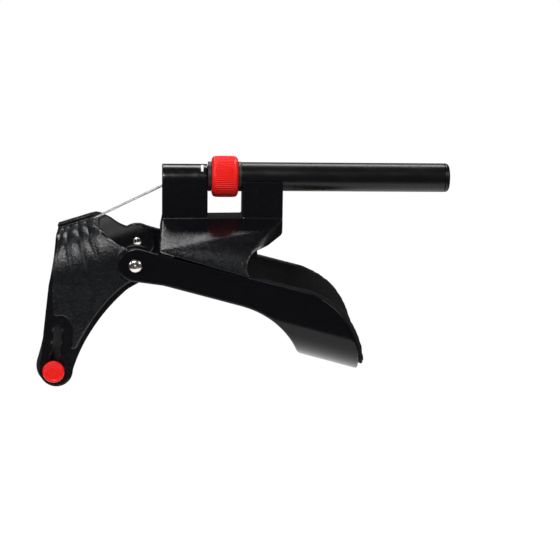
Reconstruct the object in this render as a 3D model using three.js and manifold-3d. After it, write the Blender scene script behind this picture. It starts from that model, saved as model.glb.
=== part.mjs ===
// A spring-resisted wrist and forearm exerciser that straps nothing: the forearm lies between an arched saddle
// on top and a cuff below, the fist holds a foam grip in a swinging yoke, and a steel cable links the yoke to a
// compression spring in the long tube. Millimetres. The origin is the middle of the yoke's pivot axis, at the
// wearer's wrist: +X points along the tube to the elbow, +Y to the wearer's left side and +Z up.

import * as THREE from "three";
import { ConvexGeometry } from "three/addons/geometries/ConvexGeometry.js";
import { mergeVertices } from "three/addons/utils/BufferGeometryUtils.js";
import Module from "manifold-3d";

const wasm = await Module();
wasm.setup();

// ---- driving dimensions -------------------------------------------------------------------------------------

const GAP = 0.3; // air between touching pieces
const DEGREE = Math.PI / 180;

// forearm frame: two side arms that run into a cuff, drawn in its own axes, tilted down towards the elbow
const FRAME_TILT = 15.5 * DEGREE;
const FRAME_HALF_WIDTH = 46;
const FRAME_WALL = 4;
const ARM_END_RADIUS = 11.6;
const ARM_TOP = 12.2;
const ARM_BOTTOM = -8.2;
const CUFF_BOTTOM = -38;
const CUFF_LENGTH = 171.5;
const CUFF_PAD = 6;
const PAD_PROUD = 3.5;

// yoke: a U over the back of the hand
const YOKE_HALF_WIDTH = 40.6;
const YOKE_GRIP_HALF_WIDTH = 45.6;
const YOKE_WALL = 3.8;
const YOKE_LUG_RADIUS = 12.9;
const SHOULDER_WIDTH = 21; // the shoulders are quarter ellipses, this wide
const SHOULDER_DROP = 30; // and this high
const FLARE_TOP = -14; // the legs spread between these heights
const FLARE_BOTTOM = -40;
const BRIDGE_SLOPE = 17.5 * DEGREE;
const BRIDGE_HEIGHT = 32.2; // top of the bridge above the pivot, square to its slope
const RIDGE_HALF_WIDTH = 4.6;
const RIDGE_HEIGHT = 3;

// grip in its slots
const GRIP_AXIS = new THREE.Vector2(-55.4, -73);
const GRIP_END = new THREE.Vector2(-53.9, -73.4);
const GRIP_END_RADIUS = 11.3;
const SLOT_TILT = 6.5 * DEGREE;
const SLOT_TRAVEL = 26.4;
const SLOT_WIDTH = 5.2;
const SEAT_PITCH = 8.8;
const GRIP_RADIUS = 13;
const BUTTON_TRAVEL = 2.4;

// tube, adjuster and spring
const TUBE_HEIGHT = 53.5;
const TUBE_RADIUS = 10;
const TUBE_BORE = 8.4;
const TUBE_END = 218;
const BOSS_FRONT = 17.8;
const BOSS_REAR = 49.3;
const BOSS_TOP = TUBE_HEIGHT + TUBE_RADIUS - 1.4;
const SPIGOT_FRONT = 41;
const SPIGOT_RADIUS = 7;
const SPIGOT_BORE = 5.4;
const POST_FRONT = 73.3;
const POST_REAR = 101.3;
const KNOB_MIDDLE = 61.25;
const KNOB_WIDTH = 18.5;
const KNOB_RADIUS = 14.4;
const THREAD_PITCH = 6;
const SEAT_TRAVEL = 5;
const ROD_FRONT = 49; // where the plunger's rod takes over from the cable
const PLUNGER_FRONT = 168;

// saddle
const SADDLE_TOP = 26;
const BOSS_HALF_WIDTH = 10.8;
const TUNNEL_HALF_WIDTH = 38.2;
const TUNNEL_TOP = 15.5;
const TUNNEL_CENTRE = -16;

// cable
const CABLE_RADIUS = 0.8;
const ANCHOR_HEIGHT = BRIDGE_HEIGHT - 1; // of the anchor's rod, square to the bridge's slope
const CABLE_START = new THREE.Vector2(-30, 23.3);
const CABLE_GUIDE = new THREE.Vector2(31.5, TUBE_HEIGHT);

// ---- colours ------------------------------------------------------------------------------------------------

const finish = (color, roughness, metalness) => ({ color, roughness, metalness });
const BLACK_GLOSS = finish(0x0b0b0d, 0.25, 0);
const BLACK_GRAIN = finish(0x121316, 0.5, 0);
const BLACK_FOAM = finish(0x17181a, 0.9, 0);
const RED = finish(0xd9120f, 0.4, 0);
const STEEL = finish(0xb9bcc0, 0.3, 1);
const NICKEL = finish(0xc8c5bd, 0.22, 1);
const WHITE = finish(0xf2f2ef, 0.5, 0);
const NYLON = finish(0x2a2a2c, 0.5, 0);

// ---- solids -------------------------------------------------------------------------------------------------

/** A closed three.js geometry as a manifold solid. */
function solid(geometry) {
  const bare = geometry.clone();
  bare.deleteAttribute("normal");
  bare.deleteAttribute("uv");
  const merged = mergeVertices(bare, 1e-4);
  return new wasm.Manifold(
    new wasm.Mesh({
      numProp: 3,
      vertProperties: new Float32Array(merged.attributes.position.array),
      triVerts: new Uint32Array(merged.index.array),
    }),
  );
}

/** A manifold solid as a three.js geometry. */
function geometryOf(body) {
  const mesh = body.getMesh();
  const geometry = new THREE.BufferGeometry();
  geometry.setAttribute("position", new THREE.BufferAttribute(mesh.vertProperties, 3));
  geometry.setIndex(new THREE.BufferAttribute(mesh.triVerts, 1));
  geometry.computeVertexNormals();
  return geometry;
}

const cut = (body, ...tools) => tools.reduce((left, tool) => left.subtract(tool), body);
const join = (body, ...others) => others.reduce((left, other) => left.add(other), body);
const bothSides = (make) => [make(-1), make(1)];

/** A shape drawn in X and Z, extruded from y0 to y1. */
function extrudeY(shape, y0, y1, curveSegments = 10) {
  const geometry = new THREE.ExtrudeGeometry(shape, { depth: y1 - y0, bevelEnabled: false, curveSegments });
  geometry.rotateX(Math.PI / 2);
  geometry.translate(0, y1, 0);
  return solid(geometry);
}

/** A shape drawn in Y and Z, extruded from x0 to x1, then turned down by tilt about the Y axis. */
function extrudeX(shape, x0, x1, tilt = 0, curveSegments = 14) {
  const geometry = new THREE.ExtrudeGeometry(shape, { depth: x1 - x0, bevelEnabled: false, curveSegments });
  const toX = new THREE.Matrix4().makeBasis(
    new THREE.Vector3(0, 1, 0),
    new THREE.Vector3(0, 0, 1),
    new THREE.Vector3(1, 0, 0),
  );
  geometry.applyMatrix4(toX);
  geometry.translate(x0, 0, 0);
  geometry.rotateY(tilt);
  return solid(geometry);
}

/** A box from its lowest to its highest corner. */
function block(low, high) {
  const size = high.map((value, i) => value - low[i]);
  const geometry = new THREE.BoxGeometry(...size);
  geometry.translate(...low.map((value, i) => value + size[i] / 2));
  return solid(geometry);
}

/** A turned solid about a line parallel to X through (y, z): profile is a list of [x, radius]. */
function turnX(profile, y = 0, z = TUBE_HEIGHT, segments = 40) {
  const points = profile.map(([x, radius]) => new THREE.Vector2(radius, x));
  const geometry = new THREE.LatheGeometry(points, segments);
  geometry.rotateZ(-Math.PI / 2);
  geometry.translate(0, y, z);
  return solid(geometry);
}

/** A turned solid about a line parallel to Y through (x, z): profile is a list of [y, radius]. */
function turnY(profile, x, z, segments = 28) {
  const points = profile.map(([y, radius]) => new THREE.Vector2(radius, y));
  const geometry = new THREE.LatheGeometry(points, segments);
  geometry.translate(x, 0, z);
  return solid(geometry);
}

/** A ring profile for turnX or turnY, closed on itself. */
const ring = (from, to, inner, outer) => [
  [from, inner],
  [from, outer],
  [to, outer],
  [to, inner],
  [from, inner],
];

/** A rod profile for turnX or turnY, from axis to axis. */
const rod = (from, to, radius) => [
  [from, 0],
  [from, radius],
  [to, radius],
  [to, 0],
];

/** On the left side of the object, mirror a profile that is drawn for positive Y. */
const sided = (profile, side) => {
  const mirrored = profile.map(([y, radius]) => [side * y, radius]);
  return side < 0 ? mirrored.reverse() : mirrored;
};

/** A round wire along a curve. */
function wire(curve, radius, steps, sides = 8) {
  const section = new THREE.Shape().absarc(0, 0, radius, 0, Math.PI * 2);
  const geometry = new THREE.ExtrudeGeometry(section, {
    steps,
    curveSegments: sides / 2, // a full circle takes two points for each
    bevelEnabled: false,
    extrudePath: curve,
  });
  return solid(geometry);
}

/** A helix about a line parallel to X or Y. */
class Helix extends THREE.Curve {
  constructor(axis, from, to, radius, turns, phase, centre) {
    super();
    Object.assign(this, { axis, from, to, radius, turns, phase, centre });
  }
  getPoint(t, target = new THREE.Vector3()) {
    const angle = this.phase + t * this.turns * Math.PI * 2;
    const along = this.from + t * (this.to - this.from);
    const a = this.radius * Math.cos(angle);
    const b = this.radius * Math.sin(angle);
    if (this.axis === "x") {
      return target.set(along, this.centre[1] + a, this.centre[2] + b);
    }
    return target.set(this.centre[0] + b, along, this.centre[2] + a);
  }
}

/** A slot with round ends, drawn in X and Z, whose lower centre is at (x, z) and which rises by length. */
function stadium(x, z, length, width, tilt) {
  const along = new THREE.Vector2(Math.sin(tilt), Math.cos(tilt));
  const angle = Math.PI / 2 - tilt;
  const shape = new THREE.Shape();
  shape.absarc(x, z, width / 2, angle + Math.PI / 2, angle + (Math.PI * 3) / 2);
  shape.absarc(x + along.x * length, z + along.y * length, width / 2, angle - Math.PI / 2, angle + Math.PI / 2);
  shape.closePath();
  return shape;
}

// ---- the scene graph ----------------------------------------------------------------------------------------

const exerciser = new THREE.Group();
const forearmAxes = new THREE.Group();
forearmAxes.rotation.y = FRAME_TILT;
exerciser.add(forearmAxes);

function place(name, body, material, parent = exerciser) {
  const mesh = new THREE.Mesh(geometryOf(body), new THREE.MeshStandardMaterial(material));
  mesh.name = name;
  parent.add(mesh);
}

const sideName = (side) => (side < 0 ? "right" : "left");

// ---- forearm frame and its pad ------------------------------------------------------------------------------

/** The U of the cuff across the forearm, open at the top, for a half-width and a bottom. */
function cuffSection(halfWidth, bottom, wall, top) {
  const shape = new THREE.Shape();
  shape.moveTo(-halfWidth, top);
  shape.lineTo(-halfWidth, ARM_BOTTOM);
  shape.absellipse(0, ARM_BOTTOM, halfWidth, ARM_BOTTOM - bottom, Math.PI, Math.PI * 2);
  shape.lineTo(halfWidth, top);
  shape.lineTo(halfWidth - wall, top);
  shape.lineTo(halfWidth - wall, ARM_BOTTOM);
  shape.absellipse(0, ARM_BOTTOM, halfWidth - wall, ARM_BOTTOM - bottom - wall, 0, -Math.PI, true);
  shape.lineTo(-halfWidth + wall, top);
  shape.closePath();
  return shape;
}

/** The frame from the side: round pivot ends, straight arms and a cuff that sweeps under the forearm. */
function frameOutline() {
  const shape = new THREE.Shape();
  shape.moveTo(0, ARM_END_RADIUS);
  shape.absarc(0, 0, ARM_END_RADIUS, Math.PI / 2, (Math.PI * 3) / 2);
  shape.lineTo(22, -8.6);
  shape.lineTo(78, ARM_BOTTOM);
  shape.bezierCurveTo(100, -8.5, 114, -19, 122, -29);
  shape.quadraticCurveTo(127, -36, 134, CUFF_BOTTOM - 2);
  shape.lineTo(CUFF_LENGTH, CUFF_BOTTOM - 2);
  shape.lineTo(CUFF_LENGTH - 0.5, CUFF_BOTTOM);
  shape.bezierCurveTo(165, -14, 150, 10, 121, ARM_TOP + 1);
  shape.lineTo(20, ARM_TOP - 0.6);
  shape.closePath();
  return shape;
}

const screwPlaces = [34, 64].map((along) => [along, 1]);

function forearmFrame() {
  const section = cuffSection(FRAME_HALF_WIDTH, CUFF_BOTTOM, FRAME_WALL, ARM_TOP + 4);
  const shell = extrudeX(section, -14, CUFF_LENGTH + 2, 0, 20);
  const side = extrudeY(frameOutline(), -FRAME_HALF_WIDTH - 1, FRAME_HALF_WIDTH + 1, 12);
  const inner = FRAME_HALF_WIDTH - FRAME_WALL;
  const pivotBores = bothSides((s) => turnY(sided(rod(inner - 1, FRAME_HALF_WIDTH + 1, 2.4), s), 0, 0));
  const screwHoles = screwPlaces.flatMap(([x, z]) =>
    bothSides((s) => turnY(sided(rod(inner - 1, FRAME_HALF_WIDTH - 1.2, 1.7), s), x, z, 16)),
  );
  return cut(shell.intersect(side), ...pivotBores, ...screwHoles);
}

/** The foam lining, a little proud of the cuff's edge all round its back. */
function cuffPad() {
  const top = ARM_TOP + 1 + PAD_PROUD / 2;
  const section = cuffSection(
    FRAME_HALF_WIDTH - FRAME_WALL - GAP,
    CUFF_BOTTOM + FRAME_WALL + GAP,
    CUFF_PAD,
    top + 4,
  );
  const outline = new THREE.Shape();
  outline.moveTo(81, ARM_BOTTOM + 1);
  outline.bezierCurveTo(103, -8.5, 118, -19, 125, -29);
  outline.quadraticCurveTo(129, -34, 137, CUFF_BOTTOM + 2);
  outline.lineTo(137, CUFF_BOTTOM - 2);
  outline.lineTo(CUFF_LENGTH + PAD_PROUD, CUFF_BOTTOM - 2);
  outline.lineTo(CUFF_LENGTH + PAD_PROUD, CUFF_BOTTOM + 4);
  outline.bezierCurveTo(168, -11, 152, 13, 121, top);
  outline.lineTo(81, ARM_TOP + 1.6);
  outline.closePath();
  return extrudeX(section, 78, CUFF_LENGTH + 6, 0, 18).intersect(extrudeY(outline, -50, 50, 12));
}

place("forearm_frame", forearmFrame(), BLACK_GLOSS, forearmAxes);
place("cuff_pad", cuffPad(), BLACK_FOAM, forearmAxes);

// ---- saddle -------------------------------------------------------------------------------------------------

/** Half of the saddle's corner points, as [x, y, z] with y positive: the flanks fall from the posts to the arms. */
const flankPoints = [
  [BOSS_FRONT, 12, 25.2],
  [POST_FRONT, 12, SADDLE_TOP],
  [POST_REAR, 11.4, SADDLE_TOP],
  [POST_REAR, 11, 15],
  [100, 16.5, 13],
  [92.2, 22, 20.6],
  [84.7, 30, 15.2],
  [77.4, 37.5, 9.4],
  [91, 30, 6],
  [82, 42.4, 0],
  [79.5, 45.6, -9],
  [16.2, 45.6, 10.5],
  [25, 45.6, 7],
  [60, 45.6, -3.4],
  [17, 41, 8],
];

/** The convex block that the saddle is carved from, drawn in by an inset. */
function flankBlock(inset) {
  const points = flankPoints.flatMap(([x, y, z]) =>
    [-1, 1].map((s) => new THREE.Vector3(x, s * (y - inset), z - inset)),
  );
  return solid(new ConvexGeometry(points));
}

/** The scoop that leaves the saddle's rear end curved, seen from the side. */
function rearScoop() {
  const shape = new THREE.Shape();
  shape.moveTo(79.5, -12);
  shape.quadraticCurveTo(74, -4, 76.4, 1.7);
  shape.quadraticCurveTo(78.6, 7.4, 84, 8.8);
  shape.lineTo(90.5, 10.6);
  shape.lineTo(101, 15.5);
  shape.lineTo(112, 16);
  shape.lineTo(112, -12);
  shape.closePath();
  return extrudeY(shape, -60, 60);
}

/** An arch drawn in Y and Z, open at the bottom. */
function arch(halfWidth, top, bottom) {
  const shape = new THREE.Shape();
  shape.moveTo(halfWidth, bottom);
  shape.lineTo(halfWidth, TUNNEL_CENTRE);
  shape.absellipse(0, TUNNEL_CENTRE, halfWidth, top - TUNNEL_CENTRE, 0, Math.PI);
  shape.lineTo(-halfWidth, bottom);
  shape.closePath();
  return shape;
}

/** A post across the tube, drawn in Y and Z, with a little draft and a round or square top. */
function postSection(halfWidth, top, roundTop) {
  const shape = new THREE.Shape();
  shape.moveTo(-halfWidth - 1, 18);
  shape.lineTo(halfWidth + 1, 18);
  if (roundTop) {
    shape.lineTo(halfWidth, top - halfWidth);
    shape.absarc(0, top - halfWidth, halfWidth, 0, Math.PI);
  } else {
    shape.lineTo(halfWidth, top);
    shape.lineTo(-halfWidth, top);
  }
  shape.closePath();
  return shape;
}

/** The skirts that reach down inside the arms, in the frame's tilted axes. */
function skirt(side) {
  const outer = FRAME_HALF_WIDTH - FRAME_WALL - GAP;
  const low = Math.min(side * outer, side * TUNNEL_HALF_WIDTH);
  const geometry = new THREE.BoxGeometry(52, outer - TUNNEL_HALF_WIDTH, 17);
  geometry.translate(23 + 26, low + (outer - TUNNEL_HALF_WIDTH) / 2, -4 + 8.5);
  geometry.rotateY(FRAME_TILT);
  return solid(geometry);
}

/** Everything that the arms take up beside the saddle, with a gap. */
function armSpace(side) {
  const low = side < 0 ? -60 : FRAME_HALF_WIDTH - FRAME_WALL - GAP;
  const geometry = new THREE.BoxGeometry(160, 18.3, 60);
  geometry.translate(60, low + 18.3 / 2, ARM_TOP + GAP - 30);
  geometry.rotateY(FRAME_TILT);
  return solid(geometry);
}

function turnedInFrame(profile, x, z, segments = 16) {
  const points = profile.map(([y, radius]) => new THREE.Vector2(radius, y));
  const geometry = new THREE.LatheGeometry(points, segments);
  geometry.translate(x, 0, z);
  geometry.rotateY(FRAME_TILT);
  return solid(geometry);
}

function saddle() {
  const boss = extrudeX(postSection(BOSS_HALF_WIDTH, BOSS_TOP, true), BOSS_FRONT, BOSS_REAR);
  const post = extrudeX(postSection(BOSS_HALF_WIDTH + 0.2, TUBE_HEIGHT - 1.9, false), POST_FRONT, POST_REAR);
  const outer = join(flankBlock(0), boss, post, ...bothSides(skirt));

  const tunnel = extrudeX(arch(TUNNEL_HALF_WIDTH, TUNNEL_TOP, -60), 0, 130, 0, 24);
  const ribs = [
    [22, 44.5],
    [48, 70.5],
    [74, 96],
  ];
  const hollow = flankBlock(3.6);
  const pockets = ribs.flatMap(([x0, x1]) =>
    [-1, 1].map((s) => {
      const low = s < 0 ? -35 : 14;
      return hollow.intersect(block([x0, low, -10], [x1, low + 21, 40]));
    }),
  );
  const bossPocket = block([21, -7.5, 0], [46, 7.5, 41]);
  const postPocket = block([76.5, -7.5, 0], [POST_REAR - 3.3, 7.5, 40]);

  const spigotBore = turnX(rod(24, BOSS_REAR + 5, SPIGOT_RADIUS + GAP));
  const mouth = block([BOSS_FRONT - 1, -1.7, 41.5], [30, 1.7, 52]);
  const rollerPocket = block([25.5, -3.4, 40], [40.5, 3.4, 52]);
  const rollerBore = turnY(rod(-8.6, 8.6, 1.35), 33, 48.4, 16);
  const tubeSeat = turnX(rod(POST_FRONT - 5, POST_REAR + 5, TUBE_RADIUS + GAP));
  const tubeScrewHole = standingRod(88, 38, 46, 2.1);
  const markRing = turnX(ring(44.6, 46.4, BOSS_HALF_WIDTH - 0.55, 20), 0, BOSS_CENTRE, 48);
  const markGroove = markRing.intersect(markWedge());
  const screwHoles = screwPlaces.flatMap(([x, z]) =>
    bothSides((s) => turnedInFrame(sided(rod(TUNNEL_HALF_WIDTH - 2, FRAME_HALF_WIDTH, 1.7), s), x, z)),
  );
  return cut(
    outer,
    tunnel,
    rearScoop(),
    ...pockets,
    bossPocket,
    postPocket,
    spigotBore,
    mouth,
    rollerPocket,
    rollerBore,
    tubeSeat,
    tubeScrewHole,
    markGroove,
    ...bothSides(armSpace),
    ...screwHoles,
  );
}

const BOSS_CENTRE = BOSS_TOP - BOSS_HALF_WIDTH;

/** The sector over the right shoulder of the front boss that holds the index mark. */
function markWedge(shrink = 0) {
  const reach = 14;
  const [start, end] = [14 * DEGREE, 50 * DEGREE];
  const bisector = (start + end) / 2;
  const y = -shrink * Math.sin(bisector);
  const z = BOSS_CENTRE + shrink * Math.cos(bisector);
  const shape = new THREE.Shape();
  shape.moveTo(y, z);
  shape.lineTo(y - reach * Math.sin(start), z + reach * Math.cos(start));
  shape.lineTo(y - reach * Math.sin(end), z + reach * Math.cos(end));
  shape.closePath();
  return extrudeX(shape, 44.6 + shrink, 46.4 - shrink);
}

/** A vertical rod at x, from z0 to z1. */
function standingRod(x, z0, z1, radius, segments = 16) {
  const geometry = new THREE.CylinderGeometry(radius, radius, z1 - z0, segments);
  geometry.rotateX(Math.PI / 2);
  geometry.translate(x, 0, (z0 + z1) / 2);
  return solid(geometry);
}

/** Foam under the arch, where the saddle bears on the wrist. */
function saddlePad() {
  const outer = arch(TUNNEL_HALF_WIDTH - GAP, TUNNEL_TOP - GAP, -40);
  const inner = arch(TUNNEL_HALF_WIDTH - 5, TUNNEL_TOP - 5.3, -60);
  const sheet = extrudeX(outer, 19, 84, 0, 24).subtract(extrudeX(inner, 10, 130, 0, 24));
  return sheet.intersect(block([0, -27, -5], [130, 27, 40]));
}

/** The white mark that the knob is read against. */
function indexMark() {
  const skin = BOSS_HALF_WIDTH;
  return turnX(ring(44.7, 46.3, skin - 0.4, skin - 0.02), 0, BOSS_CENTRE, 48).intersect(markWedge(0.1));
}

place("saddle", saddle(), BLACK_GRAIN);
place("saddle_pad", saddlePad(), BLACK_FOAM);
place("index_mark", indexMark(), WHITE);

// ---- yoke ---------------------------------------------------------------------------------------------------

/** The yoke from the side: bridge at the top, pivot lug at the right and the grip's round end at the bottom. */
function yokeOutline() {
  const shape = new THREE.Shape();
  shape.moveTo(-54.4, 19);
  shape.quadraticCurveTo(-53.8, 6, -58.6, -15);
  shape.lineTo(GRIP_END.x - GRIP_END_RADIUS, GRIP_END.y);
  shape.absarc(GRIP_END.x, GRIP_END.y, GRIP_END_RADIUS, Math.PI, Math.PI * 2);
  shape.quadraticCurveTo(-38, -58, -28.9, -44);
  shape.quadraticCurveTo(-20, -30, -5.5, -17.5);
  shape.absarc(0, 0, YOKE_LUG_RADIUS, -75 * DEGREE, 123 * DEGREE);
  shape.quadraticCurveTo(-12, 12, -16.6, 16.2);
  shape.quadraticCurveTo(-21, 20.4, -28.5, 24);
  shape.lineTo(-29.4, 32);
  shape.lineTo(-50, 32);
  shape.closePath();
  return shape;
}

/** The yoke's top across the hand, square to the bridge's slope: flat bridge and round shoulders. */
function yokeTop(inset, bottom) {
  const narrow = YOKE_HALF_WIDTH - inset;
  const wide = SHOULDER_WIDTH - inset;
  const high = SHOULDER_DROP - inset;
  const foot = BRIDGE_HEIGHT - SHOULDER_DROP;
  const shape = new THREE.Shape();
  shape.moveTo(narrow, bottom);
  shape.lineTo(narrow, foot);
  shape.absellipse(narrow - wide, foot, wide, high, 0, Math.PI / 2);
  shape.absellipse(-narrow + wide, foot, wide, high, Math.PI / 2, Math.PI);
  shape.lineTo(-narrow, bottom);
  shape.closePath();
  return shape;
}

/** The yoke's legs across the hand: they spread below the pivot, to make room for the fist. */
function yokeLegs(inset, bottom) {
  const narrow = YOKE_HALF_WIDTH - inset;
  const wide = YOKE_GRIP_HALF_WIDTH - inset;
  const shape = new THREE.Shape();
  shape.moveTo(narrow, FLARE_TOP);
  shape.lineTo(-narrow, FLARE_TOP);
  shape.lineTo(-wide, FLARE_BOTTOM);
  shape.lineTo(-wide, bottom);
  shape.lineTo(wide, bottom);
  shape.lineTo(wide, FLARE_BOTTOM);
  shape.closePath();
  return shape;
}

/** The solid inside of the yoke's outer faces, or of its inner faces at an inset. */
function yokeBlock(inset, reach) {
  const top = extrudeX(yokeTop(inset, -100 - reach), -140 - reach, 90 + reach, -BRIDGE_SLOPE, 10);
  const legs = extrudeX(yokeLegs(inset, -100 - reach), -90 - reach, 60 + reach);
  return top.add(legs);
}

/** A box in the bridge's sloping axes: s runs up the slope towards the elbow and n stands square on it. */
function bridgeBlock(s0, s1, halfWidth, n0, n1) {
  const geometry = new THREE.BoxGeometry(s1 - s0, halfWidth * 2, n1 - n0);
  geometry.translate((s0 + s1) / 2, 0, (n0 + n1) / 2);
  geometry.rotateY(-BRIDGE_SLOPE);
  return solid(geometry);
}

/** A rod along the bridge's slope. */
function bridgeRod(s0, s1, n, radius, segments = 14) {
  const geometry = new THREE.CylinderGeometry(radius, radius, s1 - s0, segments);
  geometry.rotateZ(-Math.PI / 2);
  geometry.translate((s0 + s1) / 2, 0, n);
  geometry.rotateY(-BRIDGE_SLOPE);
  return solid(geometry);
}

function yoke() {
  const shell = yokeBlock(0, 0).subtract(yokeBlock(YOKE_WALL, 10));
  const side = extrudeY(yokeOutline(), -60, 60, 14);
  const ridge = bridgeBlock(-46, -20.4, RIDGE_HALF_WIDTH, BRIDGE_HEIGHT - 2, BRIDGE_HEIGHT + RIDGE_HEIGHT);
  const lug = rod(YOKE_HALF_WIDTH - YOKE_WALL, YOKE_HALF_WIDTH, YOKE_LUG_RADIUS - 0.1);
  const lugs = bothSides((s) => turnY(sided(lug, s), 0, 0, 40));
  const body = join(shell.intersect(side), ridge, ...lugs);

  const anchorWindow = bridgeBlock(-33.4, -26.8, 2.9, BRIDGE_HEIGHT - 20, BRIDGE_HEIGHT + 10);
  const cableTunnel = bridgeRod(-28.8, 0, ANCHOR_HEIGHT, 1.6);
  const lugBores = bothSides((s) => turnY(sided(rod(30, 50, 2.4), s), 0, 0));
  const slots = extrudeY(stadium(GRIP_AXIS.x, GRIP_AXIS.y, SLOT_TRAVEL + 1.9, SLOT_WIDTH, SLOT_TILT), -60, 60, 8);
  const channel = stadium(GRIP_AXIS.x, GRIP_AXIS.y, SLOT_TRAVEL, 8.8, SLOT_TILT);
  const inside = YOKE_GRIP_HALF_WIDTH - YOKE_WALL;
  const channels = extrudeY(channel, -inside - 2.3, inside + 2.3, 8);
  const seats = [0, 1, 2, 3].flatMap((i) => {
    const x = GRIP_AXIS.x + Math.sin(SLOT_TILT) * SEAT_PITCH * i;
    const z = GRIP_AXIS.y + Math.cos(SLOT_TILT) * SEAT_PITCH * i;
    return bothSides((s) => turnY(sided(rod(YOKE_GRIP_HALF_WIDTH - 0.6, 50, 3.9), s), x, z, 20));
  });
  return cut(body, anchorWindow, cableTunnel, ...lugBores, slots, channels, ...seats);
}

place("yoke", yoke(), BLACK_GRAIN);

// ---- pivots -------------------------------------------------------------------------------------------------

function pivotRivet(side) {
  const outer = FRAME_HALF_WIDTH + GAP;
  const inner = YOKE_HALF_WIDTH - YOKE_WALL - GAP;
  const profile = [
    [inner - 1.6, 1.3],
    [inner - 1.6, 2.4],
    [inner - 0.9, 3.1],
    [inner, 3.1],
    [inner, 2.1],
    [outer, 2.1],
    [outer, 4.65],
    [outer + 0.5, 4.65],
    [outer + 1.5, 3.9],
    [outer + 2.3, 2.2],
    [outer + 2.6, 0],
    [outer - 4, 0],
    [outer - 4, 1.3],
    [inner - 1.6, 1.3],
  ];
  return turnY(sided(profile, side), 0, 0, 28);
}

for (const side of [-1, 1]) {
  place(`pivot_rivet_${sideName(side)}`, pivotRivet(side), NICKEL);
  const washer = ring(YOKE_HALF_WIDTH + GAP, FRAME_HALF_WIDTH - FRAME_WALL - GAP, 2.4, 7);
  place(`pivot_washer_${sideName(side)}`, turnY(sided(washer, side), 0, 0), NYLON);
}

// ---- grip and its buttons -----------------------------------------------------------------------------------

const gripY = (profile, segments) => turnY(profile, GRIP_AXIS.x, GRIP_AXIS.y, segments);

function gripCore() {
  const bore = (s) => gripY(sided(rod(18, 60, 3.4), s), 24);
  return cut(gripY(rod(-39, 39, 5), 24), ...bothSides(bore));
}

function gripFoam() {
  const half = YOKE_GRIP_HALF_WIDTH - YOKE_WALL - 1;
  const profile = [
    [-half, 5.3],
    [-half, GRIP_RADIUS - 1.5],
    [-half + 1.5, GRIP_RADIUS],
    [half - 1.5, GRIP_RADIUS],
    [half, GRIP_RADIUS - 1.5],
    [half, 5.3],
    [-half, 5.3],
  ];
  return gripY(profile, 36);
}

function gripButton(side) {
  const plate = YOKE_GRIP_HALF_WIDTH;
  const under = plate + BUTTON_TRAVEL + GAP;
  const collar = plate - YOKE_WALL + 0.2;
  const profile = [
    [33, 0],
    [33, 2.3],
    [collar, 2.3],
    [collar, 4],
    [collar + 1.8, 4],
    [collar + 1.8, 2.3],
    [under, 2.3],
    [under, 7.4],
    [under + 2.2, 7.4],
    [under + 3, 6.7],
    [under + 2.7, 5.6],
    [under + 2.7, 0],
  ];
  return gripY(sided(profile, side), 32);
}

function buttonSpring(side) {
  const helix = new Helix("y", side * 18.6, side * 32.4, 2.4, 6, 0, [GRIP_AXIS.x, 0, GRIP_AXIS.y]);
  return wire(helix, 0.35, 54, 6);
}

place("grip_core", gripCore(), STEEL);
place("grip_foam", gripFoam(), BLACK_FOAM);
for (const side of [-1, 1]) {
  place(`grip_button_${sideName(side)}`, gripButton(side), RED);
  place(`button_spring_${sideName(side)}`, buttonSpring(side), STEEL);
}

// ---- tube and end cap ---------------------------------------------------------------------------------------

const ADJUSTER_RADIUS = TUBE_RADIUS - 0.7; // the tube is turned down under the knob

function tube() {
  const profile = [
    [SPIGOT_FRONT, SPIGOT_BORE],
    [SPIGOT_FRONT, SPIGOT_RADIUS],
    [BOSS_REAR + GAP, SPIGOT_RADIUS],
    [BOSS_REAR + GAP, ADJUSTER_RADIUS],
    [POST_FRONT - GAP, ADJUSTER_RADIUS],
    [POST_FRONT - GAP, TUBE_RADIUS],
    [TUBE_END - 3.5, TUBE_RADIUS],
    [TUBE_END - 3.5, TUBE_BORE],
    [BOSS_REAR + 3, TUBE_BORE],
    [BOSS_REAR + 1, SPIGOT_BORE],
    [SPIGOT_FRONT, SPIGOT_BORE],
  ];
  const half = SEAT_TRAVEL + 3.3;
  const slots = block(
    [KNOB_MIDDLE - half, -20, TUBE_HEIGHT - 1.75],
    [KNOB_MIDDLE + half, 20, TUBE_HEIGHT + 1.75],
  );
  return cut(turnX(profile), slots, standingRod(88, 38, 46, 2.1));
}

function tubeEndCap() {
  const seat = TUBE_END - 3.5 + GAP;
  return turnX([
    [seat - 8, 0],
    [seat - 8, 8.1],
    [seat, 8.1],
    [seat, TUBE_RADIUS],
    [TUBE_END - 2.2, TUBE_RADIUS],
    [TUBE_END - 1.1, TUBE_RADIUS - 0.4],
    [TUBE_END - 0.3, TUBE_RADIUS - 1.2],
    [TUBE_END, TUBE_RADIUS - 2.4],
    [TUBE_END, 0],
  ]);
}

function tubeScrew() {
  const head = standingRod(88, 37.4, 39.7, 3.4, 20);
  const slot = block([84, -0.5, 37], [92, 0.5, 38.3]);
  return standingRod(88, 39.5, 44.8, 1.8).add(head).subtract(slot);
}

place("spring_tube", tube(), BLACK_GLOSS);
place("tube_end_cap", tubeEndCap(), BLACK_GLOSS);
place("tube_screw", tubeScrew(), STEEL);

// ---- adjuster: knob, its two thrust sleeves and the spring seat ---------------------------------------------

const KNOB_BORE = ADJUSTER_RADIUS + 0.4;
const GROOVE_PATH = 10.8;
const GROOVE_RADIUS = 2.1;

/** The two pegs sit on opposite sides, half a thread pitch apart, so that one helical groove drives both. */
const pegPlace = (side) => KNOB_MIDDLE + (side * THREAD_PITCH) / 4;

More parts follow.
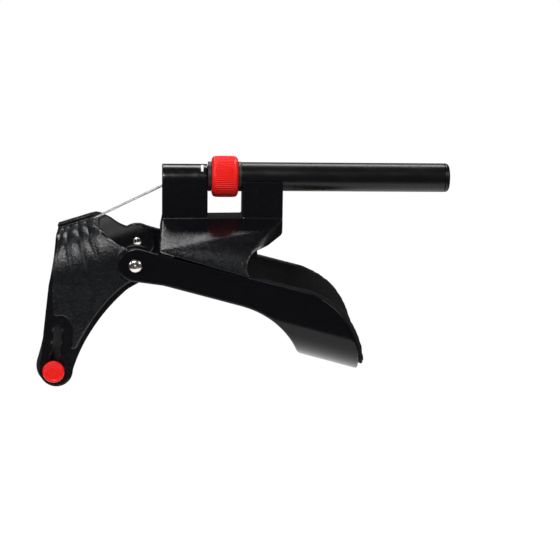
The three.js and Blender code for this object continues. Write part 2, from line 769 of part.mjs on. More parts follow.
function adjustKnob() {
  const x0 = KNOB_MIDDLE - KNOB_WIDTH / 2;
  const x1 = KNOB_MIDDLE + KNOB_WIDTH / 2;
  const body = turnX(
    [
      [x0, KNOB_BORE],
      [x0, KNOB_RADIUS - 2.4],
      [x0 + 0.7, KNOB_RADIUS - 1.3],
      [x0 + 2.2, KNOB_RADIUS - 0.6],
      [x0 + 5, KNOB_RADIUS - 0.15],
      [KNOB_MIDDLE, KNOB_RADIUS],
      [x1 - 5, KNOB_RADIUS - 0.15],
      [x1 - 2.2, KNOB_RADIUS - 0.6],
      [x1 - 0.7, KNOB_RADIUS - 1.3],
      [x1, KNOB_RADIUS - 2.4],
      [x1, KNOB_BORE],
      [x0, KNOB_BORE],
    ],
    0,
    TUBE_HEIGHT,
    48,
  );
  const reach = SEAT_TRAVEL + THREAD_PITCH / 4 + 0.6;
  const turns = (reach * 2) / THREAD_PITCH;
  const phase = Math.PI - turns * Math.PI + Math.PI / 2;
  const groove = wire(
    new Helix("x", KNOB_MIDDLE - reach, KNOB_MIDDLE + reach, GROOVE_PATH, turns, phase, [0, 0, TUBE_HEIGHT]),
    GROOVE_RADIUS,
    56,
    10,
  );
  return body.subtract(groove);
}

function springSeat() {
  const body = turnX(ring(KNOB_MIDDLE - 4, KNOB_MIDDLE + 3.6, 3.6, 8.0), 0, TUBE_HEIGHT, 32);
  const pegs = bothSides((s) => turnY(sided(rod(5, 11.6, 1.35), s), pegPlace(s), TUBE_HEIGHT, 14));
  return join(body, ...pegs);
}

function thrustSleeve(x0, x1) {
  return turnX(ring(x0, x1, ADJUSTER_RADIUS + GAP, TUBE_RADIUS + 0.3), 0, TUBE_HEIGHT, 40);
}

place("adjust_knob", adjustKnob(), RED);
place("knob_sleeve_front", thrustSleeve(BOSS_REAR + GAP, KNOB_MIDDLE - KNOB_WIDTH / 2 - GAP), NYLON);
place("knob_sleeve_rear", thrustSleeve(KNOB_MIDDLE + KNOB_WIDTH / 2 + GAP, POST_FRONT - 2 * GAP), NYLON);
place("spring_seat", springSeat(), NICKEL);

// ---- spring, plunger and cable ------------------------------------------------------------------------------

const SEAT_REAR = KNOB_MIDDLE + 3.6;

function resistanceSpring() {
  const wireRadius = 0.9;
  const from = SEAT_REAR + GAP + wireRadius;
  const to = PLUNGER_FRONT - GAP - wireRadius;
  return wire(new Helix("x", from, to, 6.6, 16, 0, [0, 0, TUBE_HEIGHT]), wireRadius, 192, 6);
}

function plunger() {
  return turnX(
    [
      [ROD_FRONT, 0],
      [ROD_FRONT, 2.5],
      [PLUNGER_FRONT, 2.5],
      [PLUNGER_FRONT, 8],
      [PLUNGER_FRONT + 6, 8],
      [PLUNGER_FRONT + 6, 4],
      [PLUNGER_FRONT + 9, 4],
      [PLUNGER_FRONT + 9, 0],
    ],
    0,
    TUBE_HEIGHT,
    24,
  );
}

/** A straight round cable between two points of the middle plane, given as (x, z). */
function cable(from, to) {
  const path = new THREE.LineCurve3(
    new THREE.Vector3(from.x, 0, from.y),
    new THREE.Vector3(to.x, 0, to.y),
  );
  return wire(path, CABLE_RADIUS, 4, 10);
}

function cableAnchor() {
  const crimp = bridgeBlock(-33, -27.2, 2.5, ANCHOR_HEIGHT - 1.8, BRIDGE_HEIGHT + 2.2);
  return crimp.add(bridgeRod(-28, -22.2, ANCHOR_HEIGHT, 1.2));
}

function guideRoller() {
  return turnY(
    [
      [-3, 1.5],
      [-3, 4.6],
      [-1.2, 3.7],
      [1.2, 3.7],
      [3, 4.6],
      [3, 1.5],
      [-3, 1.5],
    ],
    33,
    48.4,
    24,
  );
}

place("resistance_spring", resistanceSpring(), STEEL);
place("plunger", plunger(), STEEL);
place("cable_inner", cable(new THREE.Vector2(34, TUBE_HEIGHT), new THREE.Vector2(ROD_FRONT - GAP, TUBE_HEIGHT)), STEEL);
place("cable_front", cable(CABLE_START, CABLE_GUIDE), STEEL);
place("cable_anchor", cableAnchor(), NICKEL);
place("guide_roller", guideRoller(), NICKEL);
place("roller_pin", turnY(rod(-8.3, 8.3, 1.05), 33, 48.4, 14), STEEL);

// ---- screws between the saddle and the frame ----------------------------------------------------------------

screwPlaces.forEach(([x, z], i) => {
  for (const side of [-1, 1]) {
    const name = `saddle_screw_${i ? "rear" : "front"}_${sideName(side)}`;
    const shank = turnY(sided(rod(TUNNEL_HALF_WIDTH - 0.5, FRAME_HALF_WIDTH - 1.6, 1.4), side), x, z, 16);
    const head = turnY(sided(rod(TUNNEL_HALF_WIDTH - 2.2, TUNNEL_HALF_WIDTH - GAP, 2.8), side), x, z, 20);
    place(name, shank.add(head), STEEL, forearmAxes);
  }
});

export default exerciser;
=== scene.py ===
import math

import bmesh
import bpy
import numpy as np
from mathutils import Matrix, Vector


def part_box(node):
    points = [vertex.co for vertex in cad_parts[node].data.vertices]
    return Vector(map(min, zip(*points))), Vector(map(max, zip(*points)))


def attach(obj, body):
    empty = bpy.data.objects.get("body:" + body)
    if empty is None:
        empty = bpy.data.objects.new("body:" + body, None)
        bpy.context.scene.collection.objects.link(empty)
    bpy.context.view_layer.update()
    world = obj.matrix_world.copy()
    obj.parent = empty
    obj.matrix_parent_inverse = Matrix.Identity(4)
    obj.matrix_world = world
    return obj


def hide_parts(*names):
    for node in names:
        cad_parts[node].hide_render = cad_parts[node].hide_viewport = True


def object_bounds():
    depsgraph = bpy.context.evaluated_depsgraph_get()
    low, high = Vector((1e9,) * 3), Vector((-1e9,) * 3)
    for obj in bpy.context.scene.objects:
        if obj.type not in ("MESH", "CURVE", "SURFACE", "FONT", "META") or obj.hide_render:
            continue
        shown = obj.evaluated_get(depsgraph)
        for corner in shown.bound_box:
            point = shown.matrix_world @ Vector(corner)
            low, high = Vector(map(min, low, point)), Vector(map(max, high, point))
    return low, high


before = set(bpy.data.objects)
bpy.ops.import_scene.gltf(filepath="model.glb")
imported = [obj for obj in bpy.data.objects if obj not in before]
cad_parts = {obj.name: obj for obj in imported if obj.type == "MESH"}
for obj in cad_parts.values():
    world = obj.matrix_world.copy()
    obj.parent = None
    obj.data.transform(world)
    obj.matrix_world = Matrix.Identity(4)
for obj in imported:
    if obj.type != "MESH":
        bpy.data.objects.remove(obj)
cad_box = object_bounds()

# A spring-resisted wrist exerciser. Metres, in the frame of the CAD model: the origin is the
# middle of the yoke's pivot axis, +X runs along the tube towards the elbow, +Y to the left and
# +Z up.

MM = 0.001
WELD = 0.002 * MM

# ---- the view ------------------------------------------------------------------------------------

VIEW_AZIMUTH = math.radians(-4)
VIEW_ELEVATION = math.radians(13)
VIEW_ROLL = math.radians(1.0)
VIEW_DISTANCE = 1.2097
VIEW_FOCAL = 110.2  # mm, on a sensor 36 mm wide
VIEW_TARGET = Vector((0.10098, 0, -0.02027))  # the middle of the picture
FLOOR_RADIUS = 0.42
FLOOR_SIDES = 120
FLOOR_DROP = 0.16  # the floor lies this far under the object, because a forearm holds it up

# ---- shapes that the mouldings share with the CAD model, mm --------------------------------------

BRIDGE_SLOPE = math.radians(17.5)
BRIDGE_HEIGHT = 32.2
YOKE_HALF_WIDTH = 40.6
SHOULDER_WIDTH = 21.0  # the yoke's shoulders are quarter ellipses, this wide
SHOULDER_DROP = 30.0  # and this high
FRAME_TILT = math.radians(15.5)
FRAME_HALF_WIDTH = 46.0
FRAME_WALL = 4.0
CUFF_SPRING = -8.2  # the cuff's sides turn into half ellipses here, in the frame's tilted axes
CUFF_BOTTOM = -38.0
CUFF_LENGTH = 171.5
LIP_LEAN = -0.28  # how the cuff's rear edge leans, in mm for each mm of height
TUBE_HEIGHT = 53.5
CABLE_RADIUS = 0.8
CABLE_STRANDS = 6
CABLE_LAY = 6.5  # a strand goes once round the cable in this length
CABLE_SIDES = 36
KNOB_RIBS = 60
COLLAR_PLACE = YOKE_HALF_WIDTH + 1.4  # where the collar on a lock button's stem starts
SCREW_HOLE = ((86.1, -1.9, 40), (89.9, 1.9, 46.5))  # under the tube, for the tube's screw
CORNER_STEPS = 4  # a turned piece's rounded corner has this many steps


def linked(name, data):
    """A new object in the scene."""
    piece = bpy.data.objects.new(name, data)
    bpy.context.scene.collection.objects.link(piece)
    return piece


def middle():
    """The middle of the CAD model's box."""
    return (cad_box[0] + cad_box[1]) / 2


# ---- camera, floor and light ---------------------------------------------------------------------


def direction(azimuth, elevation):
    """The unit vector from the object towards an azimuth and elevation. Azimuth 0 is along -Y."""
    flat = math.cos(elevation)
    return Vector((math.sin(azimuth) * flat, -math.cos(azimuth) * flat, math.sin(elevation)))


def add_camera():
    """The camera of the main view."""
    camera = linked("camera", bpy.data.cameras.new("camera"))
    camera.data.lens = VIEW_FOCAL
    camera.data.sensor_width = 36
    camera.data.clip_start = 0.05
    camera.data.clip_end = 20
    back = direction(VIEW_AZIMUTH, VIEW_ELEVATION)
    camera.location = VIEW_TARGET + back * VIEW_DISTANCE
    look = (-back).to_track_quat("-Z", "Y").to_matrix()
    camera.rotation_euler = (look @ Matrix.Rotation(VIEW_ROLL, 3, "Z")).to_euler()
    bpy.context.scene.camera = camera


def add_floor():
    """A pale round floor."""
    low = cad_box[0].z - FLOOR_DROP
    turns = [math.radians(360 * k / FLOOR_SIDES) for k in range(FLOOR_SIDES)]
    centre, radius = middle().x, FLOOR_RADIUS
    rim = [(centre + radius * math.cos(a), radius * math.sin(a), low) for a in turns]
    mesh = bpy.data.meshes.new("floor")
    mesh.from_pydata(rim, [], [tuple(range(FLOOR_SIDES))])
    floor = linked("floor", mesh)
    pale = bpy.data.materials.new("pale_floor")
    pale.use_nodes = True
    shader = pale.node_tree.nodes["Principled BSDF"]
    shader.inputs["Base Color"].default_value = (0.9, 0.9, 0.9, 1)
    shader.inputs["Roughness"].default_value = 0.9
    shader.inputs["Specular IOR Level"].default_value = 0.1
    shader.inputs["Emission Color"].default_value = (1, 1, 1, 1)
    shader.inputs["Emission Strength"].default_value = 0.5
    mesh.materials.append(pale)


def add_softbox(name, azimuth, elevation, distance, width, height, power):
    """A rectangular soft light that faces the object."""
    lamp = linked(name, bpy.data.lights.new(name, "AREA"))
    lamp.data.shape = "RECTANGLE"
    lamp.data.size = width
    lamp.data.size_y = height
    lamp.data.energy = power
    away = direction(math.radians(azimuth), math.radians(elevation))
    lamp.location = middle() + away * distance
    lamp.rotation_euler = (-away).to_track_quat("-Z", "Y").to_euler()


def add_world():
    """A dim surround that the camera sees as white."""
    world = bpy.data.worlds.new("surround")
    world.use_nodes = True
    nodes, links = world.node_tree.nodes, world.node_tree.links
    nodes.clear()
    out = nodes.new("ShaderNodeOutputWorld")
    mix = nodes.new("ShaderNodeMixShader")
    path = nodes.new("ShaderNodeLightPath")
    dim = nodes.new("ShaderNodeBackground")
    white = nodes.new("ShaderNodeBackground")
    dim.inputs["Color"].default_value = (0.9, 0.95, 1.0, 1)
    dim.inputs["Strength"].default_value = 0.05
    white.inputs["Color"].default_value = (1, 1, 1, 1)
    links.new(path.outputs["Is Camera Ray"], mix.inputs["Fac"])
    links.new(dim.outputs["Background"], mix.inputs[1])
    links.new(white.outputs["Background"], mix.inputs[2])
    links.new(mix.outputs["Shader"], out.inputs["Surface"])
    bpy.context.scene.world = world


def add_studio():
    """The camera, the floor, the surround and four soft lights."""
    add_camera()
    add_floor()
    add_world()
    add_softbox("key", -25, 42, 1.1, 0.42, 0.16, 8)
    add_softbox("fill", 62, 30, 1.3, 0.3, 0.5, 4)
    add_softbox("front_left", -75, 18, 1.3, 0.2, 0.5, 3)
    add_softbox("top_back", 170, 60, 1.1, 0.9, 0.35, 9)
    bpy.context.scene.view_settings.view_transform = "Standard"


# ---- materials -----------------------------------------------------------------------------------


class Surface:
    """A procedural material under construction, with short ways to add noise, ramps and bump."""

    def __init__(self, name, colour, roughness, **constants):
        self.material = bpy.data.materials.new(name)
        self.material.use_nodes = True
        self.nodes = self.material.node_tree.nodes
        self.links = self.material.node_tree.links
        self.shader = self.nodes["Principled BSDF"]
        self.shader.inputs["Base Color"].default_value = (*colour, 1)
        self.shader.inputs["Roughness"].default_value = roughness
        for key, value in constants.items():
            self.shader.inputs[key.replace("_", " ")].default_value = value
        self.coordinates = self.nodes.new("ShaderNodeTexCoord").outputs["Object"]
        self.normal = None

    def stretched(self, scale):
        """The object's coordinates, stretched along its axes."""
        mapping = self.nodes.new("ShaderNodeMapping")
        mapping.inputs["Scale"].default_value = scale
        self.links.new(self.coordinates, mapping.inputs["Vector"])
        return mapping.outputs["Vector"]

    def noise(self, size, detail=3, coordinates=None):
        """Clouds of about this size, in metres, as a value from 0 to 1."""
        node = self.nodes.new("ShaderNodeTexNoise")
        node.inputs["Scale"].default_value = 1 / size
        node.inputs["Detail"].default_value = detail
        self.links.new(coordinates or self.coordinates, node.inputs["Vector"])
        return node.outputs["Fac"]

    def cells(self, size, feature="F1"):
        """Rounded cells of about this size, in metres: the distance from each cell's middle."""
        node = self.nodes.new("ShaderNodeTexVoronoi")
        node.feature = feature
        node.inputs["Scale"].default_value = 1 / size
        self.links.new(self.coordinates, node.inputs["Vector"])
        return node.outputs["Distance"]

    def attribute(self, name):
        """A value that the mesh holds at its points."""
        node = self.nodes.new("ShaderNodeAttribute")
        node.attribute_name = name
        return node.outputs["Fac"]

    def ranged(self, value, low, high, start=0.0, end=1.0):
        """A value from start to end, mapped to low to high."""
        node = self.nodes.new("ShaderNodeMapRange")
        node.inputs["From Min"].default_value = start
        node.inputs["From Max"].default_value = end
        node.inputs["To Min"].default_value = low
        node.inputs["To Max"].default_value = high
        self.links.new(value, node.inputs["Value"])
        return node.outputs["Result"]

    def math(self, operation, first, second):
        """An operation on two values, either of which may be a plain number."""
        node = self.nodes.new("ShaderNodeMath")
        node.operation = operation
        for socket, value in zip(node.inputs, (first, second)):
            if isinstance(value, (int, float)):
                socket.default_value = value
            else:
                self.links.new(value, socket)
        return node.outputs["Value"]

    def colours(self, value, low, high):
        """The surface's colour runs from low to high with a value."""
        node = self.nodes.new("ShaderNodeMix")
        node.data_type = "RGBA"
        node.inputs["A"].default_value = (*low, 1)
        node.inputs["B"].default_value = (*high, 1)
        self.links.new(value, node.inputs["Factor"])
        self.links.new(node.outputs["Result"], self.shader.inputs["Base Color"])

    def roughness(self, value):
        """The surface's roughness follows a value."""
        self.links.new(value, self.shader.inputs["Roughness"])

    def bump(self, height, depth):
        """The surface rises and falls with a value, by depth in metres."""
        node = self.nodes.new("ShaderNodeBump")
        node.inputs["Strength"].default_value = 1
        node.inputs["Distance"].default_value = depth
        self.links.new(height, node.inputs["Height"])
        if self.normal:
            self.links.new(self.normal, node.inputs["Normal"])
        self.normal = node.outputs["Normal"]
        self.links.new(self.normal, self.shader.inputs["Normal"])


def gloss_black():
    """Polished black moulding, with the slow ripple of a moulded wall and light scuffs."""
    surface = Surface("gloss_black", (0.004, 0.004, 0.005), 0.2, Specular_IOR_Level=0.22)
    scuffs = surface.noise(3 * MM, 6, surface.stretched((0.3, 1, 1)))
    surface.roughness(surface.ranged(scuffs, 0.16, 0.26, 0.35, 0.7))
    surface.bump(surface.noise(20 * MM, 0), 0.03 * MM)
    surface.bump(surface.noise(0.7 * MM, 2), 0.004 * MM)
    return surface.material


def grained_black():
    """Black moulding with a spark-eroded grain where the mesh says so, and a satin skin elsewhere."""
    surface = Surface("grained_black", (0.005, 0.0055, 0.0065), 0.3, Specular_IOR_Level=0.4)
    grain = surface.attribute("grain")
    coarse = surface.cells(1.3 * MM, "SMOOTH_F1")
    fine = surface.noise(0.4 * MM, 3)
    height = surface.math("ADD", coarse, surface.math("MULTIPLY", fine, 0.6))
    surface.bump(surface.math("MULTIPLY", height, grain), 0.2 * MM)
    surface.bump(surface.noise(12 * MM, 1), 0.04 * MM)
    satin = surface.ranged(surface.noise(4 * MM, 5), 0.18, 0.28, 0.35, 0.7)
    rough = surface.math("ADD", satin, surface.math("MULTIPLY", grain, 0.06))
    surface.roughness(rough)
    speckle = surface.math("MULTIPLY", grain, fine)
    surface.colours(speckle, (0.004, 0.004, 0.005), (0.010, 0.011, 0.013))
    return surface.material


def tube_black():
    """Black powder-coated tube."""
    surface = Surface("tube_black", (0.005, 0.005, 0.006), 0.3, Specular_IOR_Level=0.28)
    streaks = surface.noise(5 * MM, 6, surface.stretched((0.25, 1, 1)))
    surface.roughness(surface.ranged(streaks, 0.26, 0.36, 0.35, 0.7))
    surface.bump(surface.noise(1.1 * MM, 2), 0.012 * MM)
    return surface.material


def foam_black():
    """Closed-cell foam with a fine open skin."""
    surface = Surface("foam_black", (0.010, 0.010, 0.011), 0.9, Specular_IOR_Level=0.25)
    pores = surface.cells(0.8 * MM)
    surface.bump(pores, 0.2 * MM)
    surface.bump(surface.noise(6 * MM, 3), 0.25 * MM)
    surface.colours(surface.noise(3 * MM, 5), (0.006, 0.006, 0.007), (0.015, 0.015, 0.016))
    surface.roughness(surface.ranged(pores, 0.8, 0.98, 0.0, 0.6))
    return surface.material


def red_plastic():
    """Bright red moulded plastic."""
    surface = Surface("red_plastic", (0.92, 0.010, 0.008), 0.35, Specular_IOR_Level=0.3)
    surface.colours(surface.noise(7 * MM, 4), (0.86, 0.009, 0.007), (0.96, 0.013, 0.010))
    surface.roughness(surface.ranged(surface.noise(2.2 * MM, 5), 0.3, 0.46, 0.35, 0.7))
    surface.bump(surface.noise(0.6 * MM, 2), 0.008 * MM)
    return surface.material


def white_mark():
    """Pad-printed white paint, a little worn."""
    surface = Surface("white_mark", (0.86, 0.86, 0.84), 0.5)
    surface.colours(surface.noise(0.8 * MM, 4), (0.78, 0.78, 0.76), (0.9, 0.9, 0.88))
    surface.bump(surface.noise(0.4 * MM, 2), 0.01 * MM)
    return surface.material


def nylon():
    """Dull black nylon."""
    surface = Surface("nylon", (0.014, 0.014, 0.015), 0.5)
    surface.roughness(surface.ranged(surface.noise(2 * MM, 4), 0.42, 0.6, 0.35, 0.7))
    surface.bump(surface.noise(0.5 * MM, 2), 0.01 * MM)
    return surface.material


def steel():
    """Drawn steel wire and turned steel, with fine scratches."""
    surface = Surface("steel", (0.42, 0.42, 0.42), 0.3, Metallic=1)
    surface.roughness(surface.ranged(surface.noise(0.6 * MM, 5), 0.22, 0.42, 0.35, 0.7))
    surface.bump(surface.noise(0.35 * MM, 3, surface.stretched((1, 1, 4))), 0.006 * MM)
    return surface.material


def nickel():
    """Nickel plate, bright, with tumbling marks."""
    surface = Surface("nickel", (0.74, 0.71, 0.65), 0.22, Metallic=1)
    surface.roughness(surface.ranged(surface.noise(1.3 * MM, 5), 0.14, 0.34, 0.35, 0.7))
    surface.bump(surface.noise(0.9 * MM, 3), 0.02 * MM)
    return surface.material


def make_materials():
    """Every material, by its name."""
    makers = (
        gloss_black, grained_black, tube_black, foam_black, red_plastic, white_mark, nylon, steel,
        nickel,
    )
    return {maker.__name__: maker() for maker in makers}


# ---- mesh work -----------------------------------------------------------------------------------


def bake_modifiers(piece):
    """Makes what the modifiers show into the piece's own mesh."""
    bpy.context.view_layer.update()
    shown = piece.evaluated_get(bpy.context.evaluated_depsgraph_get())
    mesh = bpy.data.meshes.new_from_object(shown)
    piece.modifiers.clear()
    piece.data = mesh


def fine_copy(name, node, voxel, passes):
    """A CAD node's shape as a fine even mesh with rounded edges."""
    shape = bmesh.new()
    shape.from_mesh(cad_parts[node].data)
    bmesh.ops.remove_doubles(shape, verts=shape.verts, dist=WELD)
    mesh = bpy.data.meshes.new(name)
    shape.to_mesh(mesh)
    shape.free()
    piece = linked(name, mesh)
    remesh = piece.modifiers.new("even mesh", "REMESH")
    remesh.mode = "VOXEL"
    remesh.voxel_size = voxel
    rounding = piece.modifiers.new("rounded edges", "SMOOTH")
    rounding.factor = 0.5
    rounding.iterations = passes
    bake_modifiers(piece)
    piece.data.materials.clear()
    piece.data.shade_smooth()
    return piece


def points_of(piece):
    """The mesh's points in mm and its normals, as arrays."""
    mesh = piece.data
    points = np.zeros(len(mesh.vertices) * 3)
    mesh.vertices.foreach_get("co", points)
    normals = np.zeros(len(mesh.vertices) * 3)
    mesh.vertex_normals.foreach_get("vector", normals)
    return points.reshape(-1, 3) / MM, normals.reshape(-1, 3)


def move_points(piece, points):
    """Puts the mesh's points at these places, in mm."""
    piece.data.vertices.foreach_set("co", (points * MM).ravel())
    piece.data.update()


def paint(piece, name, values):
    """Holds a value at each of the mesh's points, for its material."""
    attribute = piece.data.attributes.new(name, "FLOAT", "POINT")
    attribute.data.foreach_set("value", values.astype(np.float32))


def finish_piece(piece, body, material, *nodes):
    """Gives a piece its material and its body, and hides the CAD nodes that it stands for."""
    piece.data.materials.append(materials[material])
    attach(piece, body)
    if nodes:
        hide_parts(*nodes)
    return piece


def ease(low, high, value):
    """0 below low, 1 above high and smooth between them."""
    share = np.clip((value - low) / (high - low), 0, 1)
    return share * share * (3 - 2 * share)


def bezier(start, first, second, end, count=60):
    """Points along a cubic curve."""
    t = np.linspace(0, 1, count)[:, None]
    parts = [np.array(point, float) for point in (start, first, second, end)]
    weights = ((1 - t) ** 3, 3 * t * (1 - t) ** 2, 3 * t**2 * (1 - t), t**3)
    return sum(weight * part for weight, part in zip(weights, parts))


def inside_distance(outline, x, z):
    """How far each point lies inside a closed outline, and negative outside it."""
    nearest = np.full(x.shape, np.inf)
    inside = np.zeros(x.shape, bool)
    for (x0, z0), (x1, z1) in zip(outline, np.roll(outline, -1, axis=0)):
        dx, dz = x1 - x0, z1 - z0
        share = np.clip(((x - x0) * dx + (z - z0) * dz) / (dx * dx + dz * dz), 0, 1)
        nearest = np.minimum(nearest, np.hypot(x - x0 - share * dx, z - z0 - share * dz))
        spans = (z0 > z) != (z1 > z)
        if dz:
            inside ^= spans & (x < x0 + (z - z0) * dx / dz)
    return np.where(inside, nearest, -nearest)


def rounded_outline(corners, passes=2):
    """A closed outline whose corners are cut off again and again, until they are round."""
    outline = np.array(corners, float)
    for _ in range(passes):
        following = np.roll(outline, -1, axis=0)
        near = outline * 0.75 + following * 0.25
        far = outline * 0.25 + following * 0.75
        outline = np.stack([near, far], axis=1).reshape(-1, 2)
    return outline


def softened(profile, radius, closed=False):
    """A turned profile, (along, radius) in mm, with rounded corners and its flats held flat."""
    made = []
    count = len(profile)
    for i, (along, out) in enumerate(profile):
        here = Vector((along, out))
        if not closed and i in (0, count - 1):
            made.append(here)
            continue
        before = Vector(profile[i - 1])
        after = Vector(profile[(i + 1) % count])
        reach = min(radius, (before - here).length * 0.4, (after - here).length * 0.4)
        a = here + (before - here).normalized() * reach
        b = here + (after - here).normalized() * reach
        made.append(a + (a - here) * 0.2)
        for k in range(CORNER_STEPS + 1):
            t = k / CORNER_STEPS
            made.append(a * (1 - t) ** 2 + here * 2 * t * (1 - t) + b * t * t)
        made.append(b + (b - here) * 0.2)
    return [tuple(point) for point in made]


def axis_turn(axis):
    """The matrix that takes a piece turned about X to one turned about another axis."""
    return {
        "x": Matrix.Identity(3),
        "y": Matrix(((0, -1, 0), (1, 0, 0), (0, 0, 1))),
    }[axis]


def turned_mesh(name, profile, centre, axis="x", sides=96, closed=False, ripple=None):
    """A turned mesh. The profile is (along, radius) in mm from the centre, which is in metres.
    Ripple adds to the radius, as a function of a point's place, its radius and its angle."""
    vertices, rings = [], []
    for along, radius in profile:
        if radius < 1e-6:
            rings.append([len(vertices)] * sides)
            vertices.append((along, 0, 0))
            continue
        rings.append([len(vertices) + k for k in range(sides)])
        for k in range(sides):
            angle = 2 * math.pi * k / sides
            out = radius + (ripple(along, radius, angle) if ripple else 0)
            vertices.append((along, out * math.cos(angle), out * math.sin(angle)))
    faces = []
    pairs = list(zip(rings, rings[1:])) + ([(rings[-1], rings[0])] if closed else [])
    for first, second in pairs:
        for k in range(sides):
            after = (k + 1) % sides
            corners = [first[k], second[k], second[after], first[after]]
            faces.append(list(dict.fromkeys(corners)))
    turn = axis_turn(axis)
    placed = [turn @ Vector(vertex) * MM + Vector(centre) for vertex in vertices]
    mesh = bpy.data.meshes.new(name)
    mesh.from_pydata(placed, [], [face for face in faces if len(face) > 2])
    shape = bmesh.new()
    shape.from_mesh(mesh)
    bmesh.ops.recalc_face_normals(shape, faces=shape.faces)
    shape.to_mesh(mesh)
    shape.free()
    mesh.shade_smooth()
    return mesh


# ---- yoke ----------------------------------------------------------------------------------------

# Four flutes fan out over the yoke's shoulder. Each is a curve from the ridge to its pointed end,
# given as how far up the bridge's slope it is and how far round the outside it has come.
FLUTES = [
    ((-42.4, 5), (-42.6, 20), (-45, 35), (-51.5, 48)),
    ((-38.1, 5), (-38.6, 24), (-41, 42), (-43, 60)),
    ((-32.3, 5), (-31.2, 26), (-31.2, 45), (-32.6, 66)),
    ((-26.3, 5), (-25, 26), (-23.5, 44), (-22, 60)),
]
FLUTE_DEPTH = 1.5
FLUTE_WIDTH = 1.1

# The grained panel on each side, in X and Z. A smooth rim goes round it.
YOKE_PANEL = [
    (-56, -33.3), (-53.8, -35.2), (-48.7, -34.4), (-44.9, -37.2), (-42.1, -42), (-43, -55),
    (-43.4, -57.6), (-40.4, -57.5), (-38.3, -52.6), (-30.2, -38.6), (-17.5, -22.7), (-4.3, -11.8),
    (14, -4), (14, 9), (-8, 9.6), (-18, 14.5), (-25.5, 21), (-30, 44), (-54, 44), (-52.3, 20),
    (-53.9, 8), (-55.6, -8),
]
PANEL_STEP = 0.7


def round_the_yoke(x, y, z):
    """Places on the yoke's outside: how far up the bridge's slope, how far round from the middle
    plane, and how far the shoulder has turned there, as an angle."""
    up = x * math.cos(BRIDGE_SLOPE) + z * math.sin(BRIDGE_SLOPE)
    height = z * math.cos(BRIDGE_SLOPE) - x * math.sin(BRIDGE_SLOPE)
    flat = YOKE_HALF_WIDTH - SHOULDER_WIDTH
    foot = BRIDGE_HEIGHT - SHOULDER_DROP
    out = np.maximum(np.abs(y) - flat, 0) / SHOULDER_WIDTH
    angle = np.arctan2(out, np.maximum(height - foot, 1e-9) / SHOULDER_DROP)
    quarter = math.pi / 2 * math.hypot(SHOULDER_WIDTH, SHOULDER_DROP) / math.sqrt(2)
    on_shoulder = flat + quarter * angle / (math.pi / 2)
    below = np.where(height > foot, on_shoulder, flat + quarter + foot - height)
    return up, np.where(np.abs(y) <= flat, np.abs(y), below), angle


def flute_depths(up, away):
    """How deep the flutes cut at each place on the yoke's outside."""
    depth = np.zeros(up.shape)
    for curve in FLUTES:
        line = bezier(*curve)
        centre = np.interp(away, line[:, 1], line[:, 0])
        slant = np.gradient(line[:, 0], line[:, 1])
        across = (up - centre) / np.sqrt(1 + np.interp(away, line[:, 1], slant) ** 2)
        end = line[-1, 1]
        taper = ease(5.5, 8.5, away) * (1 - ease(end - 16, end, away))
        width = FLUTE_WIDTH * (0.35 + 0.65 * taper)
        depth = np.maximum(depth, taper * np.exp(-np.sqrt((across / width) ** 2 + 0.03)))
    return depth * FLUTE_DEPTH


def yoke_shell():
    """The yoke's moulding, with its flutes and a grained panel sunk in each side."""
    piece = fine_copy("yoke_shell", "yoke", 0.5 * MM, 9)
    points, normals = points_of(piece)
    x, y, z = points.T
    up, away, over = round_the_yoke(x, y, z)
    outward = np.zeros(points.shape)
    outward[:, 0] = -math.sin(BRIDGE_SLOPE) * np.cos(over)
    outward[:, 1] = np.sign(y) * np.sin(over)
    outward[:, 2] = math.cos(BRIDGE_SLOPE) * np.cos(over)
    facing = ease(0.35, 0.85, (normals * outward).sum(axis=1))
    panel = inside_distance(rounded_outline(YOKE_PANEL), x, z)
    on_side = ease(26, 38, away)
    step = (1 - ease(-0.4, 0.4, panel)) * PANEL_STEP * on_side
    points -= outward * (facing * (step + flute_depths(up, away)))[:, None]
    move_points(piece, points)
    paint(piece, "grain", facing * ease(-0.2, 0.6, panel))
    return finish_piece(piece, "yoke", "grained_black", "yoke")


# ---- saddle, frame and pads ----------------------------------------------------------------------


def relax(piece, share, passes):
    """Evens out the surface where share is near 1 and leaves it alone where share is 0."""
    mesh = piece.data
    ends = np.zeros(len(mesh.edges) * 2, np.int32)
    mesh.edges.foreach_get("vertices", ends)
    a, b = ends.reshape(-1, 2).T
    points, _ = points_of(piece)
    count = len(points)
    neighbours = np.bincount(a, minlength=count) + np.bincount(b, minlength=count)
    for _ in range(passes):
        for axis in range(3):
            place = points[:, axis]
            total = np.bincount(a, place[b], count) + np.bincount(b, place[a], count)
            points[:, axis] += share * 0.6 * (total / neighbours - place)
    move_points(piece, points)


def saddle_shell():
    """The saddle's moulding, with evened flanks and grain on its lower sides."""
    piece = fine_copy("saddle_shell", "saddle", 0.52 * MM, 6)
    points, normals = points_of(piece)
    x, y, z = points.T
    facing = ease(0.1, 0.5, normals[:, 2] + 0.6 * np.abs(normals[:, 1]))
    side = ease(12.5, 17, np.abs(y)) * facing
    relax(piece, side * ease(17, 24, x), 14)
    points, _ = points_of(piece)
    x, y, z = points.T
    flank = 1 - ease(6, 20, z + 0.25 * (x - 50))
    paint(piece, "grain", 0.06 + 0.94 * flank * ease(8, 16, np.abs(y)))
    return finish_piece(piece, "frame", "grained_black", "saddle")


